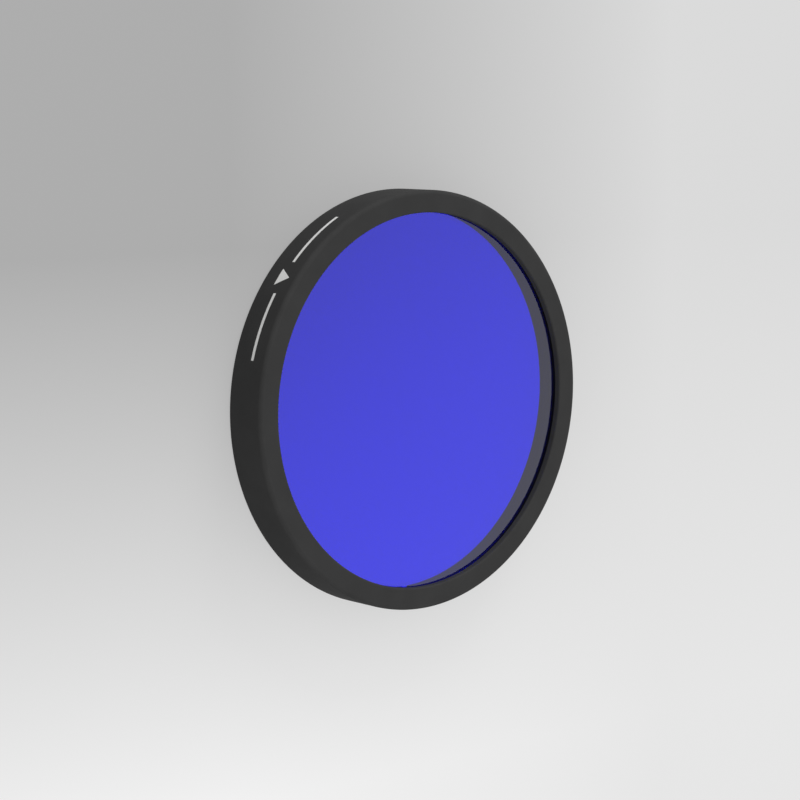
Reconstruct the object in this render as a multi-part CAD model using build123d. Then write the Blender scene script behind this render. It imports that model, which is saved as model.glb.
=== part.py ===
from build123d import *
import os

# A round mounted colour filter: a turned ring cell, the filter glass on its lip, and the threaded
# ring that holds the glass from behind. Millimetres, +Z up. The optical axis is Z, and the filter lies
# on its rear face with the front face up. The origin is on the axis, in the plane of the rear face.

# Cell, from the outside in.
CELL_DIAMETER = 50.8  # fits a two inch optic holder
CELL_THICKNESS = 6.0
THREAD_WALL = 0.9  # rim wall left outside the thread
THREAD_PITCH = 0.5
SEAT_STEP = 0.13  # seat bore inside the thread's crests, per side
LIP_THICKNESS = 0.8  # front face to glass
LIP_OVERLAP = 1.3  # how far the lip covers the edge of the glass

# Edges of the cell.
RIM_EDGE_RADIUS = 0.5  # front and rear
LIP_EDGE_BREAK = 0.2
BORE_LEAD_IN = 0.3
RELIEF_WIDTH = 0.6  # groove where the thread runs out
RELIEF_DEPTH = 0.1  # groove beyond the thread's roots

# Glass.
GLASS_THICKNESS = 2.0
GLASS_BEVEL = 0.2
GLASS_CLEARANCE = 0.1  # around the glass in its seat, per side

# Retaining ring.
RING_WALL = 0.95
RING_RECESS = 0.8  # ring's rear face inside the cell's
RING_CHAMFER = 0.2
RING_EDGE_BREAK = 0.1
RING_CLEARANCE = 0.03  # around the ring in the bore, per side
SEAT_SHORTFALL = 0.3  # seat bore ends this far before the glass does, so the ring meets glass only
SLOT_COUNT = 2
FIRST_SLOT_ANGLE = 90  # from +X
SLOT_WIDTH = 1.2
SLOT_DEPTH = 0.8

# Depth of an ISO internal thread for each millimetre of pitch.
THREAD_DEPTH_RATIO = 0.5413

# Radii that follow, outside in.
CELL_RADIUS = CELL_DIAMETER / 2
ROOT_RADIUS = CELL_RADIUS - THREAD_WALL
BORE_RADIUS = ROOT_RADIUS - THREAD_DEPTH_RATIO * THREAD_PITCH
SEAT_RADIUS = BORE_RADIUS - SEAT_STEP
GLASS_RADIUS = SEAT_RADIUS - GLASS_CLEARANCE
OPENING_RADIUS = GLASS_RADIUS - LIP_OVERLAP
RELIEF_RADIUS = ROOT_RADIUS + RELIEF_DEPTH
RING_RADIUS = BORE_RADIUS - RING_CLEARANCE
RING_BORE_RADIUS = RING_RADIUS - RING_WALL

# Heights, from the front face down to the rear one.
FRONT = CELL_THICKNESS
SEAT = FRONT - LIP_THICKNESS
GLASS_REAR = SEAT - GLASS_THICKNESS
RELIEF_FRONT = GLASS_REAR + SEAT_SHORTFALL
RELIEF_REAR = RELIEF_FRONT - RELIEF_WIDTH
RING_REAR = RING_RECESS
REAR = 0


def section(*corners):
    """A half section of a turned piece, from corners given as distance from the axis and height."""
    return make_face(Polyline(*corners, close=True))


def corner(face, place):
    """The corner of a section at a place."""
    return face.vertices().sort_by_distance(Vector(*place))[0]


def turned(face):
    """The piece that a half section sweeps in one turn about the optical axis."""
    return revolve(Plane.XZ * face, Axis.Z)


def filter_cell():
    """The one-piece ring: lip, glass seat, thread relief and thread bore, open at the rear."""
    face = section(
        (OPENING_RADIUS, FRONT),
        (CELL_RADIUS, FRONT),
        (CELL_RADIUS, REAR),
        (BORE_RADIUS, REAR),
        (BORE_RADIUS, RELIEF_REAR),
        (RELIEF_RADIUS, RELIEF_REAR),
        (RELIEF_RADIUS, RELIEF_FRONT),
        (SEAT_RADIUS, RELIEF_FRONT),
        (SEAT_RADIUS, SEAT),
        (OPENING_RADIUS, SEAT),
    )
    for place in ((CELL_RADIUS, FRONT), (CELL_RADIUS, REAR)):
        face = fillet(corner(face, place), RIM_EDGE_RADIUS)
    face = chamfer(corner(face, (OPENING_RADIUS, FRONT)), LIP_EDGE_BREAK)
    face = chamfer(corner(face, (BORE_RADIUS, REAR)), BORE_LEAD_IN)
    return turned(face)


def filter_glass():
    """The filter glass, seated on the lip, with a protective bevel round both faces."""
    face = section(
        (0, SEAT),
        (GLASS_RADIUS, SEAT),
        (GLASS_RADIUS, GLASS_REAR),
        (0, GLASS_REAR),
    )
    for place in ((GLASS_RADIUS, SEAT), (GLASS_RADIUS, GLASS_REAR)):
        face = chamfer(corner(face, place), GLASS_BEVEL)
    return turned(face)


def retaining_ring():
    """The ring behind the glass, with its spanner slots cut across its rear face."""
    face = section(
        (RING_BORE_RADIUS, GLASS_REAR),
        (RING_RADIUS, GLASS_REAR),
        (RING_RADIUS, RING_REAR),
        (RING_BORE_RADIUS, RING_REAR),
    )
    for place in ((RING_RADIUS, GLASS_REAR), (RING_RADIUS, RING_REAR)):
        face = chamfer(corner(face, place), RING_CHAMFER)
    for place in ((RING_BORE_RADIUS, GLASS_REAR), (RING_BORE_RADIUS, RING_REAR)):
        face = chamfer(corner(face, place), RING_EDGE_BREAK)
    cutter = Box(2 * RING_WALL, SLOT_WIDTH, 2 * SLOT_DEPTH)
    middle = (RING_RADIUS + RING_BORE_RADIUS) / 2
    slots = PolarLocations(middle, SLOT_COUNT, FIRST_SLOT_ANGLE) * cutter
    return turned(face) - [Pos(0, 0, RING_REAR) * slot for slot in slots]


os.makedirs("parts", exist_ok=True)
for piece in (filter_cell, filter_glass, retaining_ring):
    export_step(piece(), f"parts/{piece.__name__}.step")
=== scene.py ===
import math

import bpy
import numpy as np
from mathutils import Matrix, Vector


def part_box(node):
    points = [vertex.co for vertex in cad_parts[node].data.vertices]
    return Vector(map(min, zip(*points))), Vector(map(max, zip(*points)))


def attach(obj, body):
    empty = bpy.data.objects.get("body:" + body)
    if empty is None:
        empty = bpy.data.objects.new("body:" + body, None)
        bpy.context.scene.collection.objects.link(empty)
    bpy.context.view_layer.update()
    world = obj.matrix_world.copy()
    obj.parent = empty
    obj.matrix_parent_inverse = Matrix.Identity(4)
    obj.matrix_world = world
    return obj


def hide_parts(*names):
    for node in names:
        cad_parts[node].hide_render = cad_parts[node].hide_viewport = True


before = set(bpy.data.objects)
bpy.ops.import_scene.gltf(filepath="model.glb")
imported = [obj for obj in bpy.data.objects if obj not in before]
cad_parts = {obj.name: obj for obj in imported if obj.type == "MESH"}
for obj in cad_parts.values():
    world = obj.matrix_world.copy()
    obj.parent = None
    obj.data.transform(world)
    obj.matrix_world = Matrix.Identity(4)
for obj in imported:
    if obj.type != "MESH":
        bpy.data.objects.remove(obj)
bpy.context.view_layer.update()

# Filter cell
# One ring turned from aluminium bar, finely bead blasted and anodised black. Its front lip holds the
# glass, and a fine thread in the bore behind the glass takes the retaining ring. It lies on its rear.
MM = 0.001
cell_low, cell_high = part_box("filter_cell")
glass_low, glass_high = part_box("filter_glass")
ring_low, ring_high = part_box("retaining_ring")

RIM_EDGE_RADIUS = 0.5 * MM
LIP_EDGE_RADIUS = 0.2 * MM
LIP_OVERLAP = 1.3 * MM
BORE_LEAD_IN = 0.3 * MM
THREAD_PITCH = 0.5 * MM
THREAD_DEPTH_RATIO = 0.5413
THREAD_DEPTH = THREAD_DEPTH_RATIO * THREAD_PITCH
THREAD_MOUTH = 0.75
THREAD_FLANK = 0.3125
RELIEF_WIDTH = 0.6 * MM
RELIEF_DEPTH = 0.1 * MM
SEAT_SHORTFALL = 0.3 * MM
GLASS_CLEARANCE = 0.1 * MM
RING_CLEARANCE = 0.03 * MM

CELL_RADIUS = cell_high[0]
FRONT = cell_high[2]
REAR = cell_low[2]
SEAT = glass_high[2]
GLASS_REAR = glass_low[2]
GLASS_RADIUS = glass_high[0]
RING_RADIUS = ring_high[0]
BORE_RADIUS = RING_RADIUS + RING_CLEARANCE
RELIEF_RADIUS = BORE_RADIUS + THREAD_DEPTH + RELIEF_DEPTH
RELIEF_FRONT = GLASS_REAR + SEAT_SHORTFALL
RELIEF_REAR = RELIEF_FRONT - RELIEF_WIDTH
SEAT_RADIUS = GLASS_RADIUS + GLASS_CLEARANCE
OPENING_RADIUS = GLASS_RADIUS - LIP_OVERLAP

ROWS_PER_PITCH = 16
SHARP_RADIUS = 0.5 * MM
SHARP_BEND = math.radians(30)
NEARLY = 0.001 * MM
TURN_STEPS = 384
TURN = np.linspace(0, math.tau, TURN_STEPS, endpoint=False)


def run(start, end, hold=0.05 * MM):
    """A straight run of a half section, without its end: start, and a point a little inside each end,
    which keeps the shading of a flat face flat beside a rounded edge."""
    start, end = np.array(start), np.array(end)
    along = (end - start) / np.linalg.norm(end - start)
    return np.array([start, start + hold * along, end - hold * along])


def rounded(centre, radius, first, last, steps=16):
    """A rounded edge of a half section, without its end: points at that radius round the centre, from
    the first angle to the last, in degrees from the outward direction towards the front."""
    angle = np.radians(np.linspace(first, last, steps, endpoint=False))
    return np.array(centre) + radius * np.stack([np.cos(angle), np.sin(angle)], axis=1)


def thread(height, turn):
    """How deep a thread's groove is, from 0 at the crests to 1 at the roots: a ramp with 60 degree
    flanks, of the distance along the axis from the helix that climbs one pitch in each turn. The width
    of the groove at the crests and the length of a flank are given as shares of the pitch."""
    phase = (height / THREAD_PITCH - turn / math.tau) % 1
    return np.clip((THREAD_MOUTH / 2 - np.abs(phase - 0.5)) / THREAD_FLANK, 0, 1)


def sharpness(section):
    """How sharply the half section bends at each point: 0 on a straight run, and 1 where its radius, the
    length there over the angle it turns by, is SHARP_RADIUS or less."""
    step = np.roll(section, -1, axis=0) - section
    length = np.linalg.norm(step, axis=1)
    heading = np.arctan2(step[:, 1], step[:, 0])
    bend = np.abs((heading - np.roll(heading, 1) + math.pi) % math.tau - math.pi)
    return np.clip(SHARP_RADIUS * bend * 2 / (length + np.roll(length, 1)), 0, 1)


def turned(name, section, turn, cut=None):
    """A turned piece: every point of the half section (distance r from the axis, height z) is carried
    round to (r cos a, r sin a, z) for each angle a of turn. cut(r, z, a) gives the r and z of a
    surface that isn't round everywhere. A section that ends on the axis is closed by two poles."""
    closed = section[0, 0] > 0
    radius, height = np.broadcast_arrays(section[:, :1], section[:, 1:])
    radius = radius * np.ones_like(turn)
    height = height * np.ones_like(turn)
    if cut is not None:
        radius, height = cut(radius, height, turn[None, :])
    points = np.stack([radius * np.cos(turn), radius * np.sin(turn), height], axis=2)
    rows, columns = radius.shape
    index = np.arange(rows * columns).reshape(rows, columns)
    ahead = np.roll(index, -1, axis=1)
    below = np.roll(index, -1, axis=0)
    far = np.roll(ahead, -1, axis=0)
    quads = np.stack([index, below, far, ahead], axis=2)
    edge = np.repeat(sharpness(section), columns)
    points = points.reshape(-1, 3)
    if closed:
        faces = quads.reshape(-1, 4).tolist()
    else:
        used = np.r_[0, columns : (rows - 1) * columns + 1]
        points, edge = points[used], edge[used]
        edge[[0, -1]] = 0
        first, last = np.zeros(columns, int), np.full(columns, len(points) - 1)
        shift = columns - 1
        faces = (quads[1:-2].reshape(-1, 4) - shift).tolist()
        faces += np.stack([first, index[1] - shift, ahead[1] - shift], axis=1).tolist()
        faces += np.stack([ahead[-2] - shift, index[-2] - shift, last], axis=1).tolist()
    mesh = bpy.data.meshes.new(name)
    mesh.from_pydata(points.tolist(), [], faces)
    mesh.attributes.new("edge", "FLOAT", "POINT").data.foreach_set("value", edge)
    mesh.polygons.foreach_set("use_smooth", np.ones(len(mesh.polygons), bool))
    mesh.set_sharp_from_angle(angle=SHARP_BEND)
    piece = bpy.data.objects.new(name, mesh)
    bpy.context.collection.objects.link(piece)
    return piece


def cell_section():
    """The cell's half section, clockwise from the inner edge of the front face."""
    rows = round((RELIEF_REAR - REAR) / THREAD_PITCH * ROWS_PER_PITCH)
    heights = np.linspace(REAR, RELIEF_REAR, rows, endpoint=False)
    lead_in = np.maximum(BORE_RADIUS, BORE_RADIUS + BORE_LEAD_IN - (heights - REAR))
    outer_front = (CELL_RADIUS - RIM_EDGE_RADIUS, FRONT - RIM_EDGE_RADIUS)
    outer_rear = (CELL_RADIUS - RIM_EDGE_RADIUS, REAR + RIM_EDGE_RADIUS)
    lip_edge = (OPENING_RADIUS + LIP_EDGE_RADIUS, FRONT - LIP_EDGE_RADIUS)
    return np.concatenate([
        run((lip_edge[0], FRONT), (outer_front[0], FRONT)),
        rounded(outer_front, RIM_EDGE_RADIUS, 90, 0),
        run((CELL_RADIUS, outer_front[1]), (CELL_RADIUS, outer_rear[1])),
        rounded(outer_rear, RIM_EDGE_RADIUS, 0, -90),
        run((outer_rear[0], REAR), (BORE_RADIUS + BORE_LEAD_IN, REAR)),
        np.stack([lead_in, heights], axis=1),
        run((BORE_RADIUS, RELIEF_REAR), (RELIEF_RADIUS, RELIEF_REAR)),
        run((RELIEF_RADIUS, RELIEF_REAR), (RELIEF_RADIUS, RELIEF_FRONT)),
        run((RELIEF_RADIUS, RELIEF_FRONT), (SEAT_RADIUS, RELIEF_FRONT)),
        run((SEAT_RADIUS, RELIEF_FRONT), (SEAT_RADIUS, SEAT)),
        run((SEAT_RADIUS, SEAT), (OPENING_RADIUS, SEAT)),
        run((OPENING_RADIUS, SEAT), (OPENING_RADIUS, lip_edge[1])),
        rounded(lip_edge, LIP_EDGE_RADIUS, 180, 90, steps=8),
    ])


def cell_thread(radius, height, turn):
    """The bore's thread: from the rear up to the relief, the bore is as wide as the thread's groove,
    and never narrower than the lead-in that the section gives."""
    bore = (height >= REAR) & (height <= RELIEF_REAR) & (radius < BORE_RADIUS + BORE_LEAD_IN)
    bore &= radius >= BORE_RADIUS - NEARLY
    grooved = np.maximum(radius, BORE_RADIUS + THREAD_DEPTH * thread(height, turn))
    return np.where(bore, grooved, radius), height


cell = turned("cell_turned", cell_section(), TURN, cell_thread)
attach(cell, "root")
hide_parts("filter_cell")


def add(tree, kind, inputs=None, **settings):
    """A node of that kind. inputs gives the values or links of its sockets, by name or by number."""
    node = tree.nodes.new(kind)
    for key, value in settings.items():
        setattr(node, key, value)
    for key, value in (inputs or {}).items():
        if isinstance(value, bpy.types.NodeSocket):
            tree.links.new(value, node.inputs[key])
        else:
            node.inputs[key].default_value = value
    return node


def math_node(tree, operation, *values):
    """The result of one sum in a material."""
    node = add(tree, "ShaderNodeMath", dict(enumerate(values)), operation=operation)
    return node.outputs[0]


def step_node(tree, value, start, end):
    """0 where the value is at start or beyond it, and 1 at end, with a straight ramp between."""
    settings = {"Value": value, "From Min": start, "From Max": end}
    return add(tree, "ShaderNodeMapRange", settings).outputs["Result"]


def noise_node(tree, place, scale, detail):
    """Noise about 0.5, with that many features in each metre and that many finer layers."""
    settings = {"Vector": place, "Scale": scale, "Detail": detail}
    return add(tree, "ShaderNodeTexNoise", settings).outputs["Fac"]


def from_axis(tree, split):
    """A point's distance from the optical axis: the square root of x squared plus y squared."""
    squares = math_node(tree, "MULTIPLY", split["X"], split["X"])
    squares = math_node(tree, "MULTIPLY_ADD", split["Y"], split["Y"], squares)
    return math_node(tree, "SQRT", squares)


def mixed_value(tree, factor, start, end):
    """A value that goes from start to end with the factor."""
    return add(tree, "ShaderNodeMix", {"Factor": factor, "A": start, "B": end}).outputs["Result"]


def mixed_colour(tree, factor, start, end, blend="MIX"):
    """A colour that goes from start to end with the factor, or to the two of them multiplied."""
    settings = {"Factor": factor, "A": start, "B": end}
    node = add(tree, "ShaderNodeMix", settings, data_type="RGBA", blend_type=blend)
    return node.outputs["Result"]


CLOUD_SCALE = 260.0
CLOUD_STARTS = 0.3
CLOUD_ENDS = 0.7
CLOUD_DARKEST = 0.94
CLOUD_CHANGE = 0.12
GRAIN_SCALE = 9000.0
GRAIN_DULLS = 0.12
GRAIN_HEIGHT = 0.004 * MM
LATHE_SCALE = 14000.0
MOST_WORN = 0.6
WEAR_POLISHES = 0.15


def anodised_finish():
    """Black anodised metal: an even colour with slow cloudy changes and a fine grain, lathe lines that
    follow the distance from the axis and the height, and an edge that is worn paler in places."""
    tree = bpy.data.node_groups.new("anodised_finish", "ShaderNodeTree")
    for name, kind in (
        ("Place", "NodeSocketVector"),
        ("Edge", "NodeSocketFloat"),
        ("Colour", "NodeSocketColor"),
        ("Worn Colour", "NodeSocketColor"),
        ("Roughness", "NodeSocketFloat"),
        ("Grain", "NodeSocketFloat"),
        ("Lathe Lines", "NodeSocketFloat"),
    ):
        tree.interface.new_socket(name, in_out="INPUT", socket_type=kind)
    for name, kind in (
        ("Colour", "NodeSocketColor"),
        ("Roughness", "NodeSocketFloat"),
        ("Height", "NodeSocketFloat"),
    ):
        tree.interface.new_socket(name, in_out="OUTPUT", socket_type=kind)
    given = add(tree, "NodeGroupInput").outputs

    clouds = noise_node(tree, given["Place"], CLOUD_SCALE, detail=3.0)
    grain = noise_node(tree, given["Place"], GRAIN_SCALE, detail=2.0)
    split = add(tree, "ShaderNodeSeparateXYZ", {0: given["Place"]}).outputs
    lathe_place = add(tree, "ShaderNodeCombineXYZ", {"X": from_axis(tree, split), "Y": split["Z"]})
    lines = noise_node(tree, lathe_place.outputs[0], LATHE_SCALE, detail=1.0)

    cloud = step_node(tree, clouds, CLOUD_STARTS, CLOUD_ENDS)
    shade = math_node(tree, "MULTIPLY_ADD", cloud, CLOUD_CHANGE, CLOUD_DARKEST)
    shaded = mixed_colour(tree, 1.0, given["Colour"], shade, "MULTIPLY")
    worn = math_node(tree, "MULTIPLY", given["Edge"], cloud)
    worn = math_node(tree, "MULTIPLY", worn, MOST_WORN)
    coloured = mixed_colour(tree, worn, shaded, given["Worn Colour"])
    dull = math_node(tree, "MULTIPLY_ADD", grain, GRAIN_DULLS, given["Roughness"])
    dull = math_node(tree, "MULTIPLY_ADD", worn, -WEAR_POLISHES, dull)
    height = math_node(tree, "MULTIPLY", grain, given["Grain"])
    height = math_node(tree, "MULTIPLY_ADD", lines, given["Lathe Lines"], height)
    add(tree, "NodeGroupOutput", {"Colour": coloured, "Roughness": dull, "Height": height})
    return tree


FINISH = anodised_finish()


def anodised(name, values):
    """A material with the anodised finish, made with the values of its own sockets."""
    material = bpy.data.materials.new(name)
    material.use_nodes = True
    tree = material.node_tree
    shader = tree.nodes["Principled BSDF"]
    place = add(tree, "ShaderNodeTexCoord", name="place").outputs["Object"]
    edge = add(tree, "ShaderNodeAttribute", attribute_name="edge").outputs["Fac"]
    given = {"Place": place, "Edge": edge, **values}
    finish = add(tree, "ShaderNodeGroup", given, node_tree=FINISH, name="finish")
    height = finish.outputs["Height"]
    bump = add(tree, "ShaderNodeBump", {"Height": height, "Distance": GRAIN_HEIGHT})
    tree.links.new(finish.outputs["Colour"], shader.inputs["Base Color"])
    tree.links.new(finish.outputs["Roughness"], shader.inputs["Roughness"])
    tree.links.new(bump.outputs["Normal"], shader.inputs["Normal"])
    return material


MARK_ANGLE = math.radians(141.5)
MARK_HEIGHT = 3.5 * MM
MARK_LENGTH = 21 * MM
MARK_LINE = 0.4 * MM
MARK_GAP = 2.2 * MM
MARK_TRIANGLE = 1.9 * MM
MARK_WIDTH = 2.2 * MM
MARK_BLUR = 0.05 * MM
MARK_DEPTH = 0.1 * MM
MARK_INK = (0.85, 0.85, 0.84, 1)
MARK_ROUGHNESS = 0.6


def mark_mask(tree, place):
    """1 on the mark printed on the rim, and 0 elsewhere: a triangle whose point is towards the front,
    between two thin lines along the rim. A place along the rim is the angle about the axis, from the
    mark's middle, times the radius."""
    split = add(tree, "ShaderNodeSeparateXYZ", {0: place}).outputs
    angle = math_node(tree, "ARCTAN2", split["Y"], split["X"])
    along = math_node(tree, "MULTIPLY_ADD", angle, CELL_RADIUS, -MARK_ANGLE * CELL_RADIUS)
    aside = math_node(tree, "ABSOLUTE", along)
    height = math_node(tree, "SUBTRACT", split["Z"], MARK_HEIGHT)
    off_line = math_node(tree, "ABSOLUTE", height)

    line = step_node(tree, off_line, MARK_LINE / 2 + MARK_BLUR, MARK_LINE / 2)
    starts = step_node(tree, aside, MARK_GAP, MARK_GAP + MARK_BLUR)
    ends = step_node(tree, aside, MARK_LENGTH / 2 + MARK_BLUR, MARK_LENGTH / 2)
    lines = math_node(tree, "MULTIPLY", math_node(tree, "MULTIPLY", line, starts), ends)

    slope = -MARK_WIDTH / 2 / MARK_TRIANGLE
    half_width = math_node(tree, "MULTIPLY_ADD", height, slope, MARK_WIDTH / 4)
    outside = math_node(tree, "SUBTRACT", aside, half_width)
    sides = step_node(tree, outside, MARK_BLUR, 0.0)
    base = step_node(tree, height, -MARK_TRIANGLE / 2 - MARK_BLUR, -MARK_TRIANGLE / 2)
    triangle = math_node(tree, "MULTIPLY", sides, base)

    outer = CELL_RADIUS - MARK_DEPTH
    on_rim = step_node(tree, from_axis(tree, split), outer - MARK_DEPTH, outer)
    return math_node(tree, "MULTIPLY", math_node(tree, "MAXIMUM", lines, triangle), on_rim)


cell_values = {
    "Colour": (0.0465, 0.0465, 0.0466, 1),
    "Worn Colour": (0.054, 0.054, 0.054, 1),
    "Roughness": 0.7,
    "Grain": 1.0,
    "Lathe Lines": 0.15,
}
cell_black = anodised("cell_black", cell_values)
tree = cell_black.node_tree
shader = tree.nodes["Principled BSDF"]
shader.inputs["Specular IOR Level"].default_value = 0.05
mark = mark_mask(tree, tree.nodes["place"].outputs["Object"])
finish = tree.nodes["finish"].outputs
tree.links.new(mixed_colour(tree, mark, finish["Colour"], MARK_INK), shader.inputs["Base Color"])
tree.links.new(mixed_value(tree, mark, finish["Roughness"], MARK_ROUGHNESS), shader.inputs["Roughness"])
cell.data.materials.append(cell_black)

# Filter glass
# A round blue filter glass, polished and coated on both faces. Its edge and bevels are ground matt.
# It lies on the cell's lip and isn't glued: the retaining ring presses it there from behind.
GLASS_BEVEL = 0.2 * MM
GLASS_FLAT_RADIUS = GLASS_RADIUS - GLASS_BEVEL
GLASS_FACE_ROWS = 12
GLASS_IOR = 1.52
GLASS_PASSES = (0.0, 0.0, 1.0, 1)
GLASS_PASSES_THICK = (0.0, 0.0, 0.97, 1)
LAMP_LIGHT_PASSES = (0.0, 0.0, 0.95, 1)
COATING_SCALE = 60.0
GROUND_PASSES = (0.0, 0.0, 0.2, 1)
GROUND_ROUGHNESS = 0.5
GROUND_BLUR = 0.02 * MM
GRIT_SCALE = 20000.0
GRIT_HEIGHT = 0.003 * MM


def glass_section():
    """The glass's half section, from the middle of the front face out and back to the axis."""
    spokes = np.linspace(0, GLASS_FLAT_RADIUS - GLASS_BEVEL, GLASS_FACE_ROWS)
    front = np.stack([spokes, np.full_like(spokes, SEAT)], axis=1)
    rear = np.stack([spokes[::-1], np.full_like(spokes, GLASS_REAR)], axis=1)
    edge = [
        (GLASS_FLAT_RADIUS, SEAT),
        (GLASS_RADIUS, SEAT - GLASS_BEVEL),
        (GLASS_RADIUS, GLASS_REAR + GLASS_BEVEL),
        (GLASS_FLAT_RADIUS, GLASS_REAR),
    ]
    return np.concatenate([front, edge, rear])


glass = turned("glass_disc", glass_section(), TURN)
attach(glass, "root")
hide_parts("filter_glass")

blue_glass = bpy.data.materials.new("blue_glass")
blue_glass.use_nodes = True
tree = blue_glass.node_tree
shader = tree.nodes["Principled BSDF"]
shader.inputs["Transmission Weight"].default_value = 1.0
shader.inputs["IOR"].default_value = GLASS_IOR
shader.inputs["Coat Weight"].default_value = 1.0
shader.inputs["Coat Roughness"].default_value = 0.0
path = add(tree, "ShaderNodeLightPath").outputs
lamp_ray = math_node(tree, "MAXIMUM", path["Is Shadow Ray"], path["Is Diffuse Ray"])
through = add(tree, "ShaderNodeBsdfTransparent", {"Color": LAMP_LIGHT_PASSES})
mixed = add(tree, "ShaderNodeMixShader", {0: lamp_ray, 1: shader.outputs[0], 2: through.outputs[0]})
tree.links.new(mixed.outputs[0], tree.nodes["Material Output"].inputs["Surface"])

place = add(tree, "ShaderNodeTexCoord").outputs["Object"]
split = add(tree, "ShaderNodeSeparateXYZ", {0: place}).outputs
ground = step_node(tree, from_axis(tree, split), GLASS_FLAT_RADIUS, GLASS_FLAT_RADIUS + GROUND_BLUR)
coating = noise_node(tree, place, COATING_SCALE, detail=1.0)
tint = mixed_colour(tree, coating, GLASS_PASSES, GLASS_PASSES_THICK)
tint = mixed_colour(tree, ground, tint, GROUND_PASSES)
tree.links.new(tint, shader.inputs["Base Color"])
tree.links.new(math_node(tree, "MULTIPLY", ground, GROUND_ROUGHNESS), shader.inputs["Roughness"])
grit = math_node(tree, "MULTIPLY", noise_node(tree, place, GRIT_SCALE, detail=2.0), ground)
bump = add(tree, "ShaderNodeBump", {"Height": grit, "Distance": GRIT_HEIGHT})
tree.links.new(bump.outputs["Normal"], shader.inputs["Normal"])
glass.data.materials.append(blue_glass)

# Retaining ring
# A thin ring turned from aluminium and anodised black, threaded outside. It is screwed in from the rear
# with a pin spanner in its two slots, until it presses the glass on the lip.
RING_WALL = 0.95 * MM
RING_CHAMFER = 0.2 * MM
RING_EDGE_BREAK = 0.1 * MM
RING_EDGE_HOLD = 0.02 * MM
RING_REAR = ring_low[2]
RING_BORE_RADIUS = RING_RADIUS - RING_WALL
SLOT_COUNT = 2
FIRST_SLOT = math.radians(90)
SLOT_WIDTH = 1.2 * MM
SLOT_DEPTH = 0.8 * MM
SLOT_CORNER = 0.02 * MM


def ring_section():
    """The ring's half section, clockwise from the inner edge of the face that meets the glass."""
    start, end = GLASS_REAR - RING_CHAMFER, RING_REAR + RING_CHAMFER
    rows = round((start - end) / THREAD_PITCH * ROWS_PER_PITCH)
    heights = np.linspace(start, end, rows, endpoint=False)
    inner = RING_BORE_RADIUS + RING_EDGE_BREAK
    outer = RING_RADIUS - RING_CHAMFER
    bore_front = (RING_BORE_RADIUS, GLASS_REAR - RING_EDGE_BREAK)
    bore_rear = (RING_BORE_RADIUS, RING_REAR + RING_EDGE_BREAK)
    return np.concatenate([
        run((inner, GLASS_REAR), (outer, GLASS_REAR)),
        run((outer, GLASS_REAR), (RING_RADIUS, start)),
        np.stack([np.full(rows, RING_RADIUS), heights], axis=1),
        run((RING_RADIUS, end), (outer, RING_REAR)),
        run((outer, RING_REAR), (inner, RING_REAR)),
        run((inner, RING_REAR), bore_rear, RING_EDGE_HOLD),
        run(bore_rear, bore_front),
        run(bore_front, (inner, GLASS_REAR), RING_EDGE_HOLD),
    ])


def ring_thread_and_slots(radius, height, turn):
    """The thread stands out from the ring's outer wall into the cell's groove. In a slot, the piece is
    pushed together towards the glass, most at its rear face, so that this face drops by the slot's
    depth between two walls."""
    aside = math.tau / SLOT_COUNT
    across = np.abs((turn - FIRST_SLOT + aside / 2) % aside - aside / 2) * RING_RADIUS
    depth = SLOT_DEPTH * np.clip((SLOT_WIDTH / 2 + SLOT_CORNER - across) / SLOT_CORNER, 0, 1)
    height = height + depth * (GLASS_REAR - height) / (GLASS_REAR - RING_REAR)
    outer = radius >= RING_RADIUS - NEARLY
    return np.where(outer, RING_RADIUS + THREAD_DEPTH * thread(height, turn), radius), height


slot_walls = np.array([-SLOT_WIDTH / 2 - SLOT_CORNER, -SLOT_WIDTH / 2]) / RING_RADIUS
slot_walls = np.concatenate([slot_walls, -slot_walls]) + FIRST_SLOT
slot_turns = [slot_walls + math.tau * number / SLOT_COUNT for number in range(SLOT_COUNT)]
ring_turn = np.unique(np.concatenate([TURN, *slot_turns]) % math.tau)
ring = turned("ring_turned", ring_section(), ring_turn, ring_thread_and_slots)
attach(ring, "root")
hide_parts("retaining_ring")
ring_values = {
    "Colour": (0.009, 0.009, 0.0092, 1),
    "Worn Colour": (0.06, 0.06, 0.06, 1),
    "Roughness": 0.38,
    "Grain": 0.3,
    "Lathe Lines": 1.0,
}
ring.data.materials.append(anodised("ring_black", ring_values))

# Floor
# A plain pale studio floor. Its grey is darker to the upper left of the picture and paler to the right
# and below, a painted shade and light that fall off across it. Part of it is shown evenly, whatever
# light falls there.
FLOOR_SIZE = 1.6
PAINT_SHOWN = 0.6
PAINT_LIGHTS = 0.4
EVEN_SHOWN = 0.6
EVEN_THROUGH_GLASS = 0.8
GREY_UPPER_LEFT = 0.52
GREY_UPPER_RIGHT = 0.87
GREY_LOWER_LEFT = 1.11
GREY_LOWER_RIGHT = 0.99
LEFT, RIGHT = -25 * MM, 49 * MM
UPPER, LOWER = 19 * MM, -47 * MM
floor_mesh = bpy.data.meshes.new("floor")
half = FLOOR_SIZE / 2
corners = [(-half, -half, 0), (half, -half, 0), (half, half, 0), (-half, half, 0)]
floor_mesh.from_pydata(corners, [], [(0, 1, 2, 3)])
floor = bpy.data.objects.new("floor", floor_mesh)
bpy.context.collection.objects.link(floor)

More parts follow.
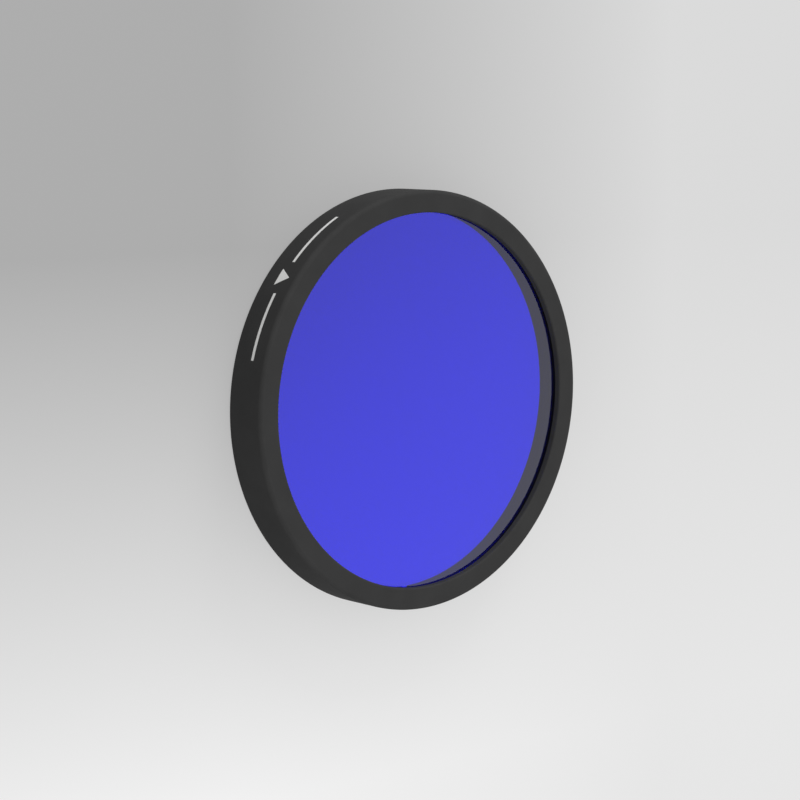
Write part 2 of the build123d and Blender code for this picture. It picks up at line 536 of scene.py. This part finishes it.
floor_grey = bpy.data.materials.new("floor_grey")
floor_grey.use_nodes = True
tree = floor_grey.node_tree
place = add(tree, "ShaderNodeTexCoord").outputs["Object"]
split = add(tree, "ShaderNodeSeparateXYZ", {0: place}).outputs
# Painted shade: the floor's grey falls off towards the upper left, as the light would.
to_right = step_node(tree, split["X"], LEFT, RIGHT)
downwards = step_node(tree, split["Y"], UPPER, LOWER)
upper = math_node(tree, "MULTIPLY_ADD", to_right, GREY_UPPER_RIGHT - GREY_UPPER_LEFT, GREY_UPPER_LEFT)
lower = math_node(tree, "MULTIPLY_ADD", to_right, GREY_LOWER_RIGHT - GREY_LOWER_LEFT, GREY_LOWER_LEFT)
change = math_node(tree, "SUBTRACT", lower, upper)
grey = math_node(tree, "MULTIPLY_ADD", change, downwards, upper)
path = add(tree, "ShaderNodeLightPath").outputs
seen = math_node(tree, "MAXIMUM", path["Is Camera Ray"], path["Is Glossy Ray"])
paint = mixed_value(tree, seen, PAINT_LIGHTS, PAINT_SHOWN)
shader = tree.nodes["Principled BSDF"]
tree.links.new(math_node(tree, "MULTIPLY", grey, paint), shader.inputs["Base Color"])
shader.inputs["Roughness"].default_value = 0.9
shader.inputs["Specular IOR Level"].default_value = 0.0
even = add(tree, "ShaderNodeEmission", {"Color": grey, "Strength": 1.0})
shown = math_node(tree, "MULTIPLY", seen, EVEN_SHOWN)
through_glass = math_node(tree, "MULTIPLY", path["Is Transmission Ray"], EVEN_THROUGH_GLASS)
share = math_node(tree, "MAXIMUM", shown, through_glass)
mixed = add(tree, "ShaderNodeMixShader", {0: share, 1: shader.outputs[0], 2: even.outputs[0]})
tree.links.new(mixed.outputs[0], tree.nodes["Material Output"].inputs["Surface"])
floor.data.materials.append(floor_grey)

# Light
# A pale room whose walls are brighter than its ceiling, a little darker towards the picture's top, and a
# soft lamp low on the upper right side.
CEILING_GREY = 0.72
WALL_GREY = 1.05
UPPER_SIDE_SHARE = 0.84
UPPER_SIDE_FROM, UPPER_SIDE_TO = -0.19, -0.03
LAMP_PLACE = (0.22, 0.72, 0.22)
LAMP_SIZE = 0.35
LAMP_POWER = 2.5
world = bpy.data.worlds.new("room")
bpy.context.scene.world = world
world.use_nodes = True
tree = world.node_tree
direction = add(tree, "ShaderNodeTexCoord").outputs["Generated"]
split = add(tree, "ShaderNodeSeparateXYZ", {0: direction}).outputs
room_grey = math_node(tree, "MULTIPLY_ADD", split["Z"], CEILING_GREY - WALL_GREY, WALL_GREY)
upper_side = step_node(tree, split["Y"], UPPER_SIDE_FROM, UPPER_SIDE_TO)
share = math_node(tree, "MULTIPLY_ADD", upper_side, UPPER_SIDE_SHARE - 1, 1.0)
room_grey = math_node(tree, "MULTIPLY", room_grey, share)
tree.links.new(room_grey, tree.nodes["Background"].inputs["Color"])

lamp_light = bpy.data.lights.new("key_lamp", "AREA")
lamp_light.shape = "SQUARE"
lamp_light.size = LAMP_SIZE
lamp_light.energy = LAMP_POWER
lamp = bpy.data.objects.new("key_lamp", lamp_light)
towards_middle = Vector(LAMP_PLACE).to_track_quat("Z", "Y").to_matrix().to_4x4()
lamp.matrix_world = Matrix.Translation(LAMP_PLACE) @ towards_middle
bpy.context.collection.objects.link(lamp)

# Camera
# It looks down on the front face and is turned about its own axis, so that the disc stands upright in
# the picture.
CAMERA_PLACE = (-195.607 * MM, 36.205 * MM, 223.016 * MM)
CAMERA_AIM = (-1.599 * MM, 0.023 * MM, 3.0 * MM)
CAMERA_ROLL = 97.904
SENSOR_WIDTH = 36.0
FOCAL_LENGTH_PIXELS = 2444.18
PICTURE_WIDTH = 800
camera_data = bpy.data.cameras.new("camera")
camera_data.sensor_width = SENSOR_WIDTH
camera_data.lens = FOCAL_LENGTH_PIXELS * SENSOR_WIDTH / PICTURE_WIDTH
camera = bpy.data.objects.new("camera", camera_data)
sight = (Vector(CAMERA_PLACE) - Vector(CAMERA_AIM)).to_track_quat("Z", "Y").to_matrix().to_4x4()
turn_about_sight = Matrix.Rotation(math.radians(CAMERA_ROLL), 4, "Z")
camera.matrix_world = Matrix.Translation(CAMERA_PLACE) @ sight @ turn_about_sight
bpy.context.collection.objects.link(camera)
bpy.context.scene.camera = camera
bpy.context.scene.view_settings.view_transform = "Standard"
